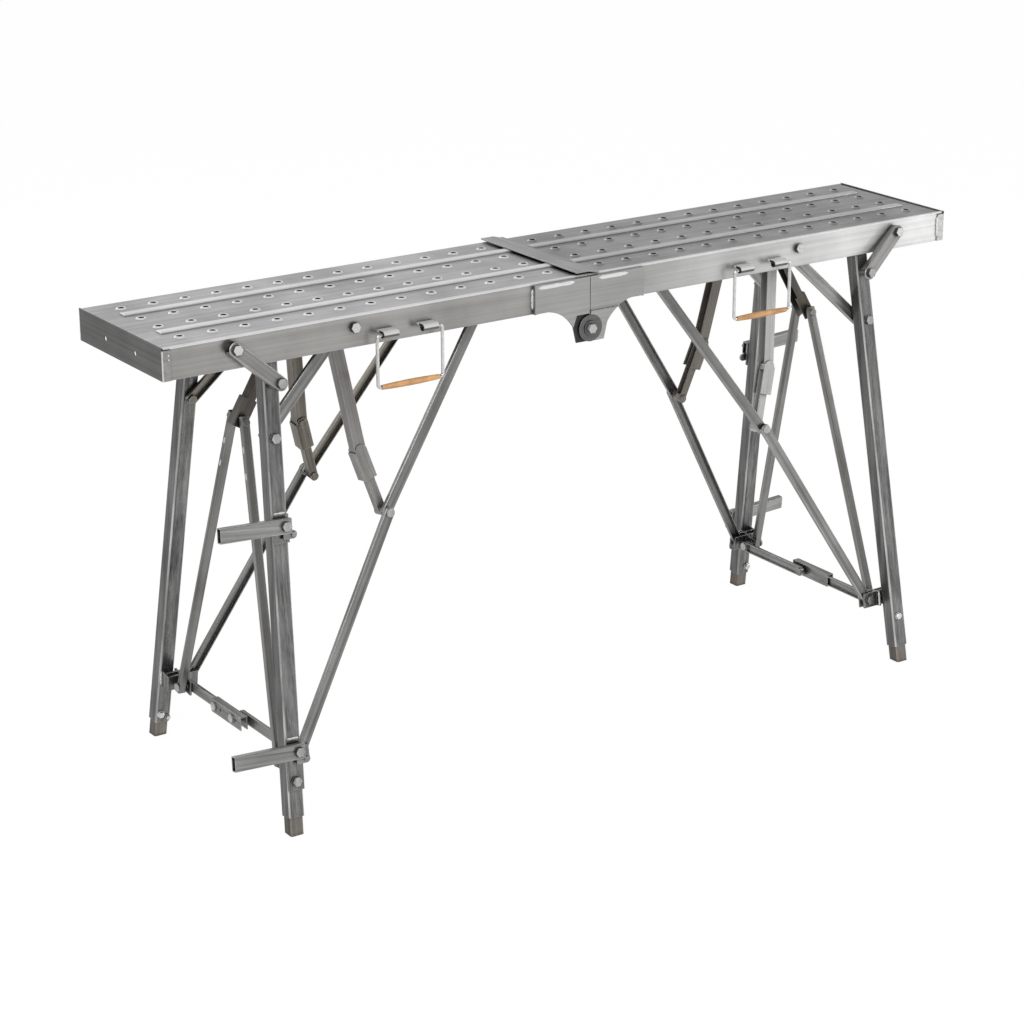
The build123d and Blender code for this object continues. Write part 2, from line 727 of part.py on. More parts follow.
def make_pivot_bolts(sign):
    # link stud and long brace bolt on both sides of one deck half
    inside = block(-half_length, half_length, -half_width, half_width, skirt_bottom - half_width, deck_top)
    web_inner = link_high - bar_wall
    stud = pin(link_pivot, pin_sleeve_size / 2, 0, web_inner - face_gap)
    stud = lean(stud) - inside
    shank = lean(pin(link_pivot, pin_radius, leg_face, link_high + face_gap))
    head = lean(bolt_top(link_pivot, bolt_head_size, link_high + face_gap, link_high + face_gap + bolt_head))
    stud = stud + shank + head
    skirt_out = (half_width - plane_reach) / math.cos(tilt)
    head_low = skirt_out + bar_wall
    washer = lean(pin(brace_pivot, pin_sleeve_size / 2, 0, head_low)) - inside
    long_end = strut_low - layer_gap - lug_plate
    bolt = lean(pin(brace_pivot, pin_radius, long_end - bolt_head, head_low))
    bolt += washer
    bolt += lean(bolt_top(brace_pivot, bolt_head_size, head_low, head_low + bolt_head))
    outside = block(-half_length, half_length, -2 * half_width, sheet - half_width,
                    skirt_bottom - half_width, deck_top)
    inner_sleeve = lean(pin(brace_pivot, pin_sleeve_size / 2, brace_high + face_gap, head_low)) - outside
    brace_web = brace_high - bar_wall
    spacer = lean(pin(brace_pivot, pin_sleeve_size / 2 - 1, strut_high + face_gap, brace_web - face_gap))
    nut = lean(bolt_top(brace_pivot, bolt_head_size, long_end - bolt_head, long_end))
    bolt = bolt + inner_sleeve + spacer + nut
    bolts = both_sides(stud) + both_sides(bolt)
    if sign > 0:
        bolts = [mirror(each, about=Plane.YZ) for each in bolts]
    return Compound(children=bolts)


def gusset_slab(inner, outer):
    # whole gusset of the left half between two distances from the middle of the deck
    top = deck_top - deck_bend
    low = hinge_height - ear_drop
    end = -seam_gap / 2
    curve_start = (-gusset_reach, skirt_bottom)
    curve_end = (-ear_heel, hinge_height + ear_shoulder)
    heel = (ear_slant - ear_heel, low)
    with BuildSketch(Plane.XZ) as drawn:
        with BuildLine():
            Line((-gusset_reach, top), curve_start)
            SagittaArc(curve_start, curve_end, gusset_hollow)
            Line(curve_end, heel)
            Line(heel, (end, low))
            Line((end, low), (end, top))
            Line((end, top), (-gusset_reach, top))
        make_face()
    return Pos(0, -inner, 0) * extrude(drawn.sketch, outer - inner)


def ear_notch(inner, outer):
    # part of the left gusset that stands back so that the outer ear can lie over it
    low = hinge_height - 2 * ear_drop
    high = hinge_height + gusset_notch
    with BuildSketch(Plane.XZ) as drawn:
        with BuildLine():
            Polyline((-ear_heel, low), (-ear_heel, hinge_height + ear_shoulder), (ear_slant - ear_heel, high),
                     (0, high), (0, low), close=True)
        make_face()
    return Pos(0, -inner, 0) * extrude(drawn.sketch, outer - inner)


def make_gussets(sign):
    # welded plates on both skirts; the right hand ears lie outside the left hand ones
    inner = half_width + gusset_pad
    face = inner + gusset_plate
    front = gusset_slab(inner, face)
    below_ear = block(-gusset_reach, 0, -2 * half_width, 0, 0, hinge_height + ear_rise)
    if sign < 0:
        ear_low = inner
        ear_high = inner + ear_plate
        front -= ear_notch(inner, face)
    else:
        ear_low = inner + ear_plate + ear_gap
        ear_high = ear_low + outer_ear_plate
        front -= side_pin(0, hinge_height, -face, -inner, ear_radius + ear_turn_gap)
        front -= block(-gusset_reach, 0, -face, -inner, 0, hinge_height)
    front += gusset_slab(ear_low, ear_high) & below_ear
    front += side_pin(0, hinge_height, -ear_high, -ear_low, ear_radius)
    front += block(-gusset_reach, -seam_gap / 2, -inner, -half_width, skirt_bottom, deck_top - deck_bend)
    front -= side_pin(0, hinge_height, -2 * half_width, 0, hinge_pin_size / 2 + running_gap)
    if sign > 0:
        front = mirror(front, about=Plane.YZ)
    return Compound(children=both_sides(front))


def make_seam_cover():
    high = deck_top + rib_height + cover_gap
    lower = [(-cover_left, high), (cover_bend_start, high),
             (cover_bend_end, deck_top), (cover_right, deck_top)]
    upper = [(x, z + cover_plate) for x, z in reversed(lower)]
    with BuildSketch(Plane.XZ) as drawn:
        with BuildLine():
            Polyline(*lower, *upper, close=True)
        make_face()
    return Pos(0, cover_width / 2, 0) * extrude(drawn.sketch, cover_width)


def make_hinge_bolts():
    inner = half_width + gusset_pad
    outer = inner + ear_plate + ear_gap + outer_ear_plate
    seat = -inner + face_gap
    front = side_pin(0, hinge_height, -outer - hinge_washer, seat, hinge_pin_size / 2)
    front += side_pin(0, hinge_height, -outer - hinge_washer, -outer, hinge_washer_size / 2)
    outline = RegularPolygon(radius=hinge_head_size / 2, side_count=6, major_radius=False)
    front += Pos(0, -outer - hinge_washer, hinge_height) * extrude(Plane.XZ * outline, hinge_head)
    front += side_pin(0, hinge_height, seat, seat + hinge_inner_head, hinge_head_size / 2)
    return Compound(children=both_sides(front))


def save(name, part):
    part.label = name
    export_step(part, os.path.join("parts", name + ".step"))


os.makedirs("parts", exist_ok=True)

for side_name, sign in (("left", -1), ("right", 1)):
    save(side_name + "_deck_plank", make_plank(sign))
    save(side_name + "_end_cap", make_end_cap(sign))
    save(side_name + "_hinge_gussets", make_gussets(sign))
    save(side_name + "_pivot_bolts", make_pivot_bolts(sign))
    bail, grip = make_handle(sign)
    save(side_name + "_handle_bail", bail)
    save(side_name + "_handle_grip", grip)
    link = make_apex_link()
    save(side_name + "_apex_link", link if sign < 0 else mirror(link, about=Plane.YZ))

save("seam_cover", make_seam_cover())
save("hinge_bolts", make_hinge_bolts())

plain_leg = make_leg(crossbar_near)
step_leg = add_step_plates(make_leg(crossbar_far))
shared = {
    "link": make_link(),
    "brace": make_brace(),
    "strut_upper": make_strut_upper(),
    "strut_lower": make_strut_lower(),
    "diagonal_upper": make_diagonal_upper(),
    "diagonal_lower": make_diagonal_lower(),
    "middle_bar": make_middle_bar(),
    "foot": make_foot(),
}
plain_half = make_crossbar_plain()
headed_half = make_crossbar_headed()
upper_step = make_step(step_upper_drop)
lower_step = make_step(step_lower_drop)
corners = (
    ("front_left", False, False),
    ("rear_left", True, False),
    ("front_right", False, True),
    ("rear_right", True, True),
)
for corner, rear, right in corners:
    with_steps = rear == right
    pieces = dict(shared)
    pieces["leg"] = step_leg if with_steps else plain_leg
    pieces["crossbar"] = plain_half if with_steps else headed_half
    if with_steps:
        pieces["step_upper"] = upper_step
        pieces["step_lower"] = lower_step
    for name, part in pieces.items():
        if rear:
            part = mirror(part, about=Plane.XZ)
        if right:
            part = mirror(part, about=Plane.YZ)
        save(corner + "_" + name, part)
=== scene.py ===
import math
import random

import bmesh
import bpy
import numpy as np
from mathutils import Matrix, Quaternion, Vector


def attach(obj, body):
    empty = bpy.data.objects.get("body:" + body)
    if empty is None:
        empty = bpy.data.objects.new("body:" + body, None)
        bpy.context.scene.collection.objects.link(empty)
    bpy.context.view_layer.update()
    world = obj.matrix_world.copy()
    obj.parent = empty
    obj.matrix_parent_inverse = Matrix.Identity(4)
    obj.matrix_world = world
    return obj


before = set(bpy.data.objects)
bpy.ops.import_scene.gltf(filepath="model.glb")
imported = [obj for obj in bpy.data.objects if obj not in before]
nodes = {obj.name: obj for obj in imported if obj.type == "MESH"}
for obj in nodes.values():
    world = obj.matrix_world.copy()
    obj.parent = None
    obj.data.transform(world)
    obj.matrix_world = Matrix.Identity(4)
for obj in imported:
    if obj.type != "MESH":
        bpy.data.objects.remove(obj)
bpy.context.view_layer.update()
scene = bpy.context.scene

# Camera at the photograph's angle
camera_azimuth = math.radians(-34.01)
camera_elevation = math.radians(19.45)
camera_roll = -0.0031
camera_place = (-2.2898, -3.3170, 1.7317)
camera_lens = 96.76

# Light
sky_level = 0.55
floor_glow = 1.05
floor_left_share = 0.18
floor_right_share = 0.95
floor_size = 60.0
floor_ends = (-1.8, 1.7)
floor_colour = (0.80, 0.80, 0.80, 1.0)
floor_blend = 0.90
plain_white = (1.0, 1.0, 1.0, 1.0)
lamps = (
    ("key", (-1.8, -2.2, 2.8), (0.0, 0.0, 0.5), (3.0, 2.2), 55.0),
    ("side", (2.6, -1.6, 1.4), (0.0, 0.0, 0.4), (0.8, 1.8), 18.0),
    ("back", (-0.9, 2.6, 1.9), (0.0, 0.0, 0.6), (2.0, 1.0), 9.0),
)

# Steel tones, as linear grey with a slight tint
left_top_tone = (0.50, 0.50, 0.51)
right_top_tone = (0.37, 0.37, 0.378)
left_skirt_tone = (0.37, 0.363, 0.35)
right_skirt_tone = (0.43, 0.428, 0.422)
gusset_tone = (0.395, 0.392, 0.388)
cap_tone = (0.165, 0.165, 0.162)
leg_tone = (0.205, 0.205, 0.203)
link_tone = (0.34, 0.335, 0.325)
bar_tone = (0.25, 0.248, 0.242)
inner_tone = (0.12, 0.112, 0.10)
ear_tone = (0.05, 0.05, 0.049)
zinc_tone = (0.72, 0.72, 0.71)
foot_tone = (0.25, 0.232, 0.208)
step_tone = (0.34, 0.34, 0.33)
white_tone = (0.86, 0.86, 0.86)
# near-black, used for painted shade in crevices, gaps, holes and under the seam cover, and for the ends of
# the clips
dark_tone = (0.012, 0.012, 0.012)
wear_and_highlight_tone = (0.78, 0.78, 0.77)
disc_tone = (0.15, 0.15, 0.148)
head_tone = (0.58, 0.58, 0.575)
# painted shade on the sides of bolt heads
head_side_tone = (0.10, 0.10, 0.098)
clip_tone = (0.82, 0.82, 0.81)
# painted shade on the lower part of the handle clips
clip_under_tone = (0.16, 0.16, 0.157)
strip_tone = (0.62, 0.62, 0.61)
collar_tone = (0.56, 0.56, 0.56)
brown_tone = (0.165, 0.150, 0.128)
rear_tone = (0.29, 0.268, 0.235)
brace_tone = (0.33, 0.328, 0.32)
strut_tone = (0.33, 0.322, 0.31)
# painted reflection: pale tone the skirts grow to toward the right end
far_skirt_tone = (0.82, 0.82, 0.815)
grip_tone = (0.68, 0.37, 0.16)
rust_tone = (0.15, 0.105, 0.065)

# Streaks and bands along a piece, as length and width, with worn edges that also carry a painted highlight,
# and painted shade in crevices and at contacts
streak_size = (0.45, 0.0013)
band_size = (0.60, 0.0060)
edge_wear_and_highlight_radius = 0.0010
bump_strength = 0.12
bump_depth = 0.0004
crevice_shade_reach = 0.007
crevice_shade_share = 0.75

# Directions
along_deck = (1.0, 0.0, 0.0)
across_deck = (0.0, 1.0, 0.0)
upright = (0.0, 0.0, 1.0)
to_left = (-1.0, 0.0, 0.0)
to_front = (0.0, -1.0, 0.0)
to_rear = (0.0, 1.0, 0.0)
front_lean = (0.0, -0.988, 0.151)
rear_lean = (0.0, 0.988, 0.151)
top_facing = 0.8
side_facing = 0.6

# Sizes of the deck, in metres
deck_top = 0.716
half_length = 0.700
half_width = 0.1245
hole_first = 0.047
hole_pitch = 0.0505
hole_count = 13
hole_rows = (-0.088, -0.026, 0.026, 0.088)
gusset_reach = 0.098
gusset_front = half_width + 0.0068
ear_front = half_width + 0.0058
washer_front = half_width + 0.0097
hinge_height = 0.635
ear_radius = 0.0206
cap_front = half_width + 0.0015
cap_wrap = 0.013
cover_reach = 0.0207
clip_starts = (-0.364, -0.298, 0.272, 0.338)
clip_middle = 0.684
clip_front = half_width + 0.0008
skirt_inside = half_width - 0.0012
rib_start = 0.7163
under_top = 0.7147
cover_strip_start = 0.7155
cover_bottom = 0.7194
ear_top = 0.6568
slit_start = 0.7119
rib_reach = 0.055
rib_half = 0.0072
skirt_top = 0.7128
gusset_weld_heights = (0.6765, 0.7070)
strip_weld_height = 0.7085
top_strips = {"left": (-0.093, -0.028), "right": (0.015, 0.069)}
cap_spot_x = -0.690
cap_spot_reach = 0.0014
cap_spot_heights = (0.7045, 0.6985)
cap_run_heights = (0.6760, 0.7090)
weld_seeds = {"gusset": 11, "strip": 21, "spot": 31, "run": 33, "step": 41, "bracket": 51}

# Plane of the legs, drawn for the front left corner
splay = math.radians(8.7)
plane_reach = 0.1048
plane_height = 0.694
floor_drop = plane_height / math.cos(splay)
leg_top = (-0.533, -0.022)
leg_floor = (-0.569, -floor_drop)
leg_half = 0.0125
leg_angle = math.atan2(leg_top[0] - leg_floor[0], leg_top[1] - leg_floor[1])
outward = (0.0, -math.cos(splay), math.sin(splay))
plane_level = plane_reach * math.cos(splay) + plane_height * math.sin(splay)
head_out = 0.0302
low_heads = ((-0.5385, 0.5634, 0.0127), (-0.5648, 0.0805, 0.0157))
low_head_half = 0.009
rivet_face = 0.55165
knee_rivet_out = -0.0228
cross_pin_ends = (-0.5646, -0.5383, -0.5283)
cross_pin_reach = 0.1477
cross_pin_height = 0.0966
cross_pin_half = 0.007
slot_places = ((-0.5300, -0.0284, 0.5156), (-0.5328, -0.0387, 0.4791))
slot_size = (0.0058, 0.0023)
bar_ahead = (0.0743, 0.273, 0.959)
step_drops = {"step_upper": 0.255, "step_lower": 0.577}
step_end = 0.0985
step_inside = (0.0206, 0.0286)
step_inside_half = 0.0095
step_plate_top = 0.0155
bracket_walls = (-0.5722, -0.5473)
bracket_rise = 0.105
bracket_half = 0.012
stepped_corners = ("front_left", "rear_right")
corners = ("front_left", "rear_left", "front_right", "rear_right")


# Shader helpers
def new_material(name):
    material = bpy.data.materials.new(name)
    material.use_nodes = True
    material.node_tree.nodes.clear()
    return material


class Graph:
    def __init__(self, material):
        self.tree = material.node_tree

    def add(self, kind, **settings):
        node = self.tree.nodes.new(kind)
        for key, value in settings.items():
            setattr(node, key, value)
        return node

    def link(self, source, target):
        self.tree.links.new(source, target)

    def noise(self, vector, scale, detail, roughness):
        node = self.add("ShaderNodeTexNoise")
        node.inputs["Scale"].default_value = scale
        node.inputs["Detail"].default_value = detail
        node.inputs["Roughness"].default_value = roughness
        self.link(vector, node.inputs["Vector"])
        return node.outputs["Fac"]

    def along(self, coords, turn, length, width):
        # coordinates stretched along a piece
        node = self.add("ShaderNodeMapping", vector_type="TEXTURE")
        node.inputs["Rotation"].default_value = turn
        node.inputs["Scale"].default_value = (length, width, width)
        self.link(coords, node.inputs["Vector"])
        return node.outputs["Vector"]

    def inside(self, coords, limits):
        # one within a box given as low and high limits on X, Y and Z, with None for no limit
        split = self.add("ShaderNodeSeparateXYZ")
        self.link(coords, split.inputs["Vector"])
        within = None
        for socket, (low, high) in zip(split.outputs, limits):
            for operation, edge in (("GREATER_THAN", low), ("LESS_THAN", high)):
                if edge is not None:
                    test = self.math(operation, socket, edge)
                    within = test if within is None else self.math("MULTIPLY", within, test)
        return within

    def within(self, coords, place):
        # one inside a box of limits, or the value of a mask function
        return place(self, coords) if callable(place) else self.inside(coords, place)

    def spread(self, value, low, high, to_low, to_high):
        node = self.add("ShaderNodeMapRange")
        node.inputs["From Min"].default_value = low
        node.inputs["From Max"].default_value = high
        node.inputs["To Min"].default_value = to_low
        node.inputs["To Max"].default_value = to_high
        self.link(value, node.inputs["Value"])
        return node.outputs["Result"]

    def math(self, operation, first, second):
        node = self.add("ShaderNodeMath", operation=operation)
        for socket, value in zip(node.inputs, (first, second)):
            if isinstance(value, (int, float)):
                socket.default_value = value
            else:
                self.link(value, socket)
        return node.outputs["Value"]

    def dot(self, first, second):
        node = self.add("ShaderNodeVectorMath", operation="DOT_PRODUCT")
        for socket, value in zip(node.inputs, (first, second)):
            if isinstance(value, tuple):
                socket.default_value = value
            else:
                self.link(value, socket)
        return node.outputs["Value"]

    def mix_value(self, factor, first, second):
        node = self.add("ShaderNodeMix", data_type="FLOAT")
        self.link(factor, node.inputs[0])
        for socket, value in zip((node.inputs[2], node.inputs[3]), (first, second)):
            if isinstance(value, (int, float)):
                socket.default_value = value
            else:
                self.link(value, socket)
        return node.outputs[0]

    def mix(self, factor, first, second):
        node = self.add("ShaderNodeMix", data_type="RGBA")
        colours = [socket for socket in node.inputs if socket.type == "RGBA"]
        self.link(factor, node.inputs[0])
        for socket, value in zip(colours, (first, second)):
            if isinstance(value, tuple):
                socket.default_value = (*value, 1.0)
            else:
                self.link(value, socket)
        return [socket for socket in node.outputs if socket.type == "RGBA"][0]


def shade(tone, factor):
    return tuple(min(1.0, part * factor) for part in tone)


def beyond(direction, level):
    # mask of what lies further than a level along a direction
    return lambda graph, coords: graph.math("GREATER_THAN", graph.dot(coords, direction), level)


def disc_about_y(x, z, radius):
    # mask of what lies near an axis along Y
    def mask(graph, coords):
        shift = graph.add("ShaderNodeVectorMath", operation="SUBTRACT")
        graph.link(coords, shift.inputs[0])
        shift.inputs[1].default_value = (x, 0.0, z)
        flat = graph.add("ShaderNodeVectorMath", operation="MULTIPLY")
        graph.link(shift.outputs["Vector"], flat.inputs[0])
        flat.inputs[1].default_value = (1.0, 0.0, 1.0)
        length = graph.add("ShaderNodeVectorMath", operation="LENGTH")
        graph.link(flat.outputs["Vector"], length.inputs[0])
        return graph.math("LESS_THAN", length.outputs["Value"], radius)
    return mask


def both(first, second):
    # mask of what two places share
    def mask(graph, coords):
        return graph.math("MULTIPLY", graph.within(coords, first), graph.within(coords, second))
    return mask


def facing(direction, least=0.0):
    # mask of the surfaces turned toward a direction
    def mask(graph, coords):
        normal = graph.add("ShaderNodeTexCoord").outputs["Normal"]
        return graph.math("GREATER_THAN", graph.dot(normal, direction), least)
    return mask


def fading(limits, low, high):
    # mask that grows along X inside a box of limits
    def mask(graph, coords):
        growth = graph.spread(graph.dot(coords, (1.0, 0.0, 0.0)), low, high, 0.0, 1.0)
        return graph.math("MULTIPLY", graph.inside(coords, limits), growth)
    return mask


def steel(name, axis, tone, rough=0.36, contrast=0.20, edge=0.55, edge_tone=None, rust=0.0, cloudy=0.30,
          spots=(), matt_spots_and_painted_light=(), bend=None):
    # drawn steel: streaks along the piece, clouds of tarnish, worn edges and rounded bends with a painted
    # highlight, spots of given tone, and painted shade in crevices
    material = new_material(name)
    graph = Graph(material)
    source = graph.add("ShaderNodeTexCoord")
    coords = source.outputs["Object"]
    turn = Vector(axis).to_track_quat("X", "Z").to_euler()
    streak = graph.noise(graph.along(coords, turn, *streak_size), 1.0, 4.0, 0.6)
    band = graph.noise(graph.along(coords, turn, *band_size), 1.0, 2.0, 0.5)
    cloud = graph.noise(coords, 9.0, 4.0, 0.55)
    grain = graph.noise(coords, 900.0, 2.0, 0.5)
    drawn = 0.5 * (1 - cloudy)
    mixed = graph.math("ADD", graph.math("MULTIPLY", streak, drawn), graph.math("MULTIPLY", band, drawn))
    mixed = graph.math("ADD", mixed, graph.math("MULTIPLY", cloud, cloudy))
    level = graph.spread(mixed, 0.38, 0.62, 0.0, 1.0)
    low = 1 - contrast
    high = 1 + contrast
    colour = graph.mix(level, shade(tone, low), shade(tone, high))
    for place, spot_tone in spots:
        patch = graph.mix(level, shade(spot_tone, low), shade(spot_tone, high))
        colour = graph.mix(graph.within(coords, place), colour, patch)
    if rust > 0:
        patch = graph.spread(graph.noise(coords, 26.0, 5.0, 0.7), 0.48, 0.70, 0.0, rust)
        colour = graph.mix(patch, colour, rust_tone)
    # worn edges with a painted highlight: where the bevel normal turns from the true one, the colour goes
    # toward edge_tone and grows less metallic
    bevel = graph.add("ShaderNodeBevel", samples=4)
    bevel.inputs["Radius"].default_value = edge_wear_and_highlight_radius
    geometry = graph.add("ShaderNodeNewGeometry")
    sharpness = graph.dot(bevel.outputs["Normal"], geometry.outputs["Normal"])
    bright = graph.spread(sharpness, 0.995, 0.86, 0.0, edge)
    # painted highlight along rounded bends, found by how far the normal turns from the lean, broken up by
    # noise as wear
    if bend is not None:
        slope = graph.math("ABSOLUTE", graph.dot(source.outputs["Normal"], bend), 0.0)
        rising = graph.spread(slope, 0.20, 0.45, 0.0, 1.0)
        falling = graph.spread(slope, 0.80, 0.96, 1.0, 0.0)
        wear_and_highlight_patches = graph.spread(graph.noise(coords, 7.0, 3.0, 0.6), 0.38, 0.62, 0.30 * edge, edge)
        rounded = graph.math("MULTIPLY", graph.math("MULTIPLY", rising, falling), wear_and_highlight_patches)
        bright = graph.math("MAXIMUM", bright, rounded)
    colour = graph.mix(bright, colour, edge_tone or shade(tone, 2.0))
    # spots in their given tone, made less metallic: some are painted highlight and painted shade, some the
    # part's own colour
    for place, spot_tone in matt_spots_and_painted_light:
        within = graph.within(coords, place)
        patch = graph.mix(level, shade(spot_tone, low), spot_tone)
        colour = graph.mix(within, colour, patch)
        bright = graph.math("MAXIMUM", bright, within)
    # painted shade: ambient occlusion darkens crevices and contacts toward dark_tone
    crevice = graph.add("ShaderNodeAmbientOcclusion", samples=4)
    crevice.inputs["Distance"].default_value = crevice_shade_reach
    crevice_shade = graph.spread(crevice.outputs["AO"], 0.40, 0.85, crevice_shade_share, 0.0)
    colour = graph.mix(crevice_shade, colour, dark_tone)
    shader = graph.add("ShaderNodeBsdfPrincipled")
    graph.link(colour, shader.inputs["Base Color"])
    graph.link(graph.spread(bright, 0.0, 1.0, 0.9, 0.3), shader.inputs["Metallic"])
    graph.link(graph.spread(level, 0.0, 1.0, rough + 0.08, rough - 0.08), shader.inputs["Roughness"])
    height = graph.math("ADD", graph.math("MULTIPLY", streak, 0.85), graph.math("MULTIPLY", grain, 0.15))
    bump = graph.add("ShaderNodeBump")
    bump.inputs["Strength"].default_value = bump_strength
    bump.inputs["Distance"].default_value = bump_depth
    graph.link(height, bump.inputs["Height"])
    graph.link(bevel.outputs["Normal"], bump.inputs["Normal"])
    graph.link(bump.outputs["Normal"], shader.inputs["Normal"])
    output = graph.add("ShaderNodeOutputMaterial")
    graph.link(shader.outputs["BSDF"], output.inputs["Surface"])
    return material


def long_axis(piece):
    # direction in which a piece is longest
    points = np.array([vertex.co for vertex in piece.data.vertices])
    spread = np.cov((points - points.mean(axis=0)).T)
    vectors = np.linalg.eigh(spread)[1]
    return Vector(vectors[:, 2])


def dress(piece, material):
    piece.data.materials.clear()
    piece.data.materials.append(material)


# Finish of each kind of piece, chosen by the end of its name
any_place = (None, None)


def both_faces(depth, tone, heights=any_place):
    # the same tone on everything that lies further out than depth at the front and at the rear
    return [((any_place, (None, -depth), heights), tone), ((any_place, (depth, None), heights), tone)]


def plank_finish(top_tone, skirt_tone, rib_tone):
    # painted highlight: the ribs are drawn pale, whitest on the left plank
    ribs = [((any_place, (middle - rib_half, middle + rib_half), (rib_start, None)), rib_tone)
            for middle in (-rib_reach, rib_reach)]
    # painted highlight along the bent top edge of the skirts
    edges = both_faces(half_width - 0.0032, white_tone, (skirt_top, None))
    # handle clips pale above their middle, with painted shade on their lower part
    clips = [((any_place, (None, -clip_front), (clip_middle, None)), clip_tone)]
    clip_unders = [((any_place, (None, -clip_front), (None, clip_middle)), clip_under_tone)]
    clip_ends = [(((start - 0.001, start + 0.0008), (None, -half_width - 0.0075), any_place), dark_tone)
                 for start in clip_starts]
    # painted shade on everything under the deck top, between the skirts
    under = [((any_place, (-skirt_inside, skirt_inside), (None, under_top)), inner_tone)]
    skirts = both_faces(skirt_inside, skirt_tone, (None, skirt_top))
    # painted reflection: the skirts grow pale toward the right end
    far = [(fading(limits, 0.12, 0.62), far_skirt_tone) for limits, tone in skirts]
    # painted shadow on the deck under the seam cover
    below_cover = [(((-cover_reach, 0.0), any_place, (cover_strip_start, None)), dark_tone)]
    return dict(axis=along_deck, tone=top_tone, rough=0.36, contrast=0.17, cloudy=0.5, edge=0.5,
                spots=skirts + far + under + clip_unders + below_cover,
                matt_spots_and_painted_light=ribs + edges + clips + clip_ends)


def end_finish(front_tone):
    # dark end plate with pale front strip, a painted highlight on its corner and painted shade in the slit
    # above the strip
    strips = both_faces(half_width - 0.0001, front_tone)
    corner = [(((None, -half_length + 0.0016), (None, -half_width - 0.0004), any_place), white_tone)]
    slit = both_faces(half_width + 0.0002, dark_tone, (slit_start, None))
    return dict(axis=across_deck, tone=cap_tone, rough=0.42, contrast=0.25, spots=strips,
                matt_spots_and_painted_light=corner + slit)


ear_spots = [((any_place, (-ear_front, ear_front), (None, ear_top)), ear_tone)]
ear_disc = [(disc_about_y(0.0, hinge_height, ear_radius), disc_tone)]
# painted shade on the underside of the seam cover's left half
cover_under = [(((None, 0.0), any_place, (None, cover_bottom)), dark_tone)]
all_over = (any_place, any_place, (-1.0, None))
# painted light: faces of the front right struts turned to the front are drawn pale, lightening their channel
pale_front = [(facing(to_front), strip_tone)]
# zinc on the bolt faces turned to front and rear; the rest of the pivot bolts is dark as painted shade on
# their sides
bolt_tops = [(facing(to_front, top_facing), zinc_tone), (facing(to_rear, top_facing), zinc_tone)]
everywhere_brown = [(all_over, rear_tone)]
bar_finish = dict(tone=bar_tone, rough=0.32, contrast=0.46, edge=0.8, edge_tone=wear_and_highlight_tone)
finishes = {
    "left_deck_plank": plank_finish(left_top_tone, left_skirt_tone, white_tone),
    "right_deck_plank": plank_finish(right_top_tone, right_skirt_tone, shade(white_tone, 0.68)),
    "left_end_cap": end_finish(left_skirt_tone),
    "right_end_cap": end_finish(strip_tone),
    "left_hinge_gussets": dict(axis=along_deck, tone=gusset_tone, rough=0.36, contrast=0.16, edge=0.35,
                               spots=ear_spots),
    "right_hinge_gussets": dict(axis=along_deck, tone=gusset_tone, rough=0.36, contrast=0.16, edge=0.35,
                                edge_tone=wear_and_highlight_tone, spots=ear_disc),
    "pivot_bolts": dict(tone=head_side_tone, rough=0.26, contrast=0.12, matt_spots_and_painted_light=bolt_tops),
    "handle_bail": dict(tone=zinc_tone, rough=0.24, contrast=0.12),
    "apex_link": dict(tone=inner_tone, rough=0.46, contrast=0.30, rust=0.5),
    "seam_cover": dict(axis=across_deck, tone=right_top_tone, rough=0.36, contrast=0.18, edge=0.7,
                       edge_tone=white_tone, spots=cover_under),
    "hinge_bolts": dict(axis=along_deck, tone=disc_tone, rough=0.34, contrast=0.20,
                        matt_spots_and_painted_light=both_faces(washer_front, head_tone)),
    "leg": dict(tone=leg_tone, rough=0.28, contrast=0.55, edge=0.85, edge_tone=wear_and_highlight_tone,
                # painted shade: faces turned to the left are drawn darker
                spots=[(facing(to_left, side_facing), shade(leg_tone, 0.72))]),
    "link": dict(tone=link_tone, rough=0.32, contrast=0.36, edge=0.7, edge_tone=wear_and_highlight_tone),
    "brace": dict(bar_finish, tone=brace_tone),
    "strut_upper": dict(bar_finish, tone=strut_tone, contrast=0.32, rust=0.2),
    "strut_lower": dict(bar_finish, tone=strut_tone, contrast=0.32, rust=0.2),
    "rear_left_brace": dict(bar_finish, tone=rear_tone),
    "rear_left_strut_upper": dict(bar_finish, tone=brown_tone),
    "rear_left_strut_lower": dict(bar_finish, tone=brown_tone),
    "rear_left_diagonal_upper": dict(bar_finish, tone=rear_tone),
    "front_right_strut_upper": dict(bar_finish, tone=strut_tone, contrast=0.32, matt_spots_and_painted_light=pale_front),
    "front_right_strut_lower": dict(bar_finish, tone=strut_tone, contrast=0.32, matt_spots_and_painted_light=pale_front),
    "rear_right_strut_upper": dict(bar_finish, tone=rear_tone, matt_spots_and_painted_light=everywhere_brown),
    "rear_right_strut_lower": dict(bar_finish, tone=rear_tone, matt_spots_and_painted_light=everywhere_brown),
    "diagonal_upper": bar_finish,
    "diagonal_lower": bar_finish,
    "middle_bar": dict(bar_finish, rust=0.2),
    "crossbar": bar_finish,
    "foot": dict(tone=foot_tone, rough=0.42, contrast=0.28, rust=0.45,
                 # painted shade: faces turned to the left are drawn darker
                 spots=[(facing(to_left, side_facing), shade(foot_tone, 0.5))]),
    "step_upper": dict(tone=step_tone, rough=0.34, contrast=0.36, edge=0.7, edge_tone=wear_and_highlight_tone),
    "step_lower": dict(tone=step_tone, rough=0.34, contrast=0.36, edge=0.7, edge_tone=wear_and_highlight_tone),
}
bent_pieces = ("leg", "brace", "diagonal_upper", "diagonal_lower", "link", "foot", "step_upper", "step_lower")


def finish_for(name):
    endings = [ending for ending in finishes if name.endswith(ending)]
    return finishes[max(endings, key=len)] if endings else None


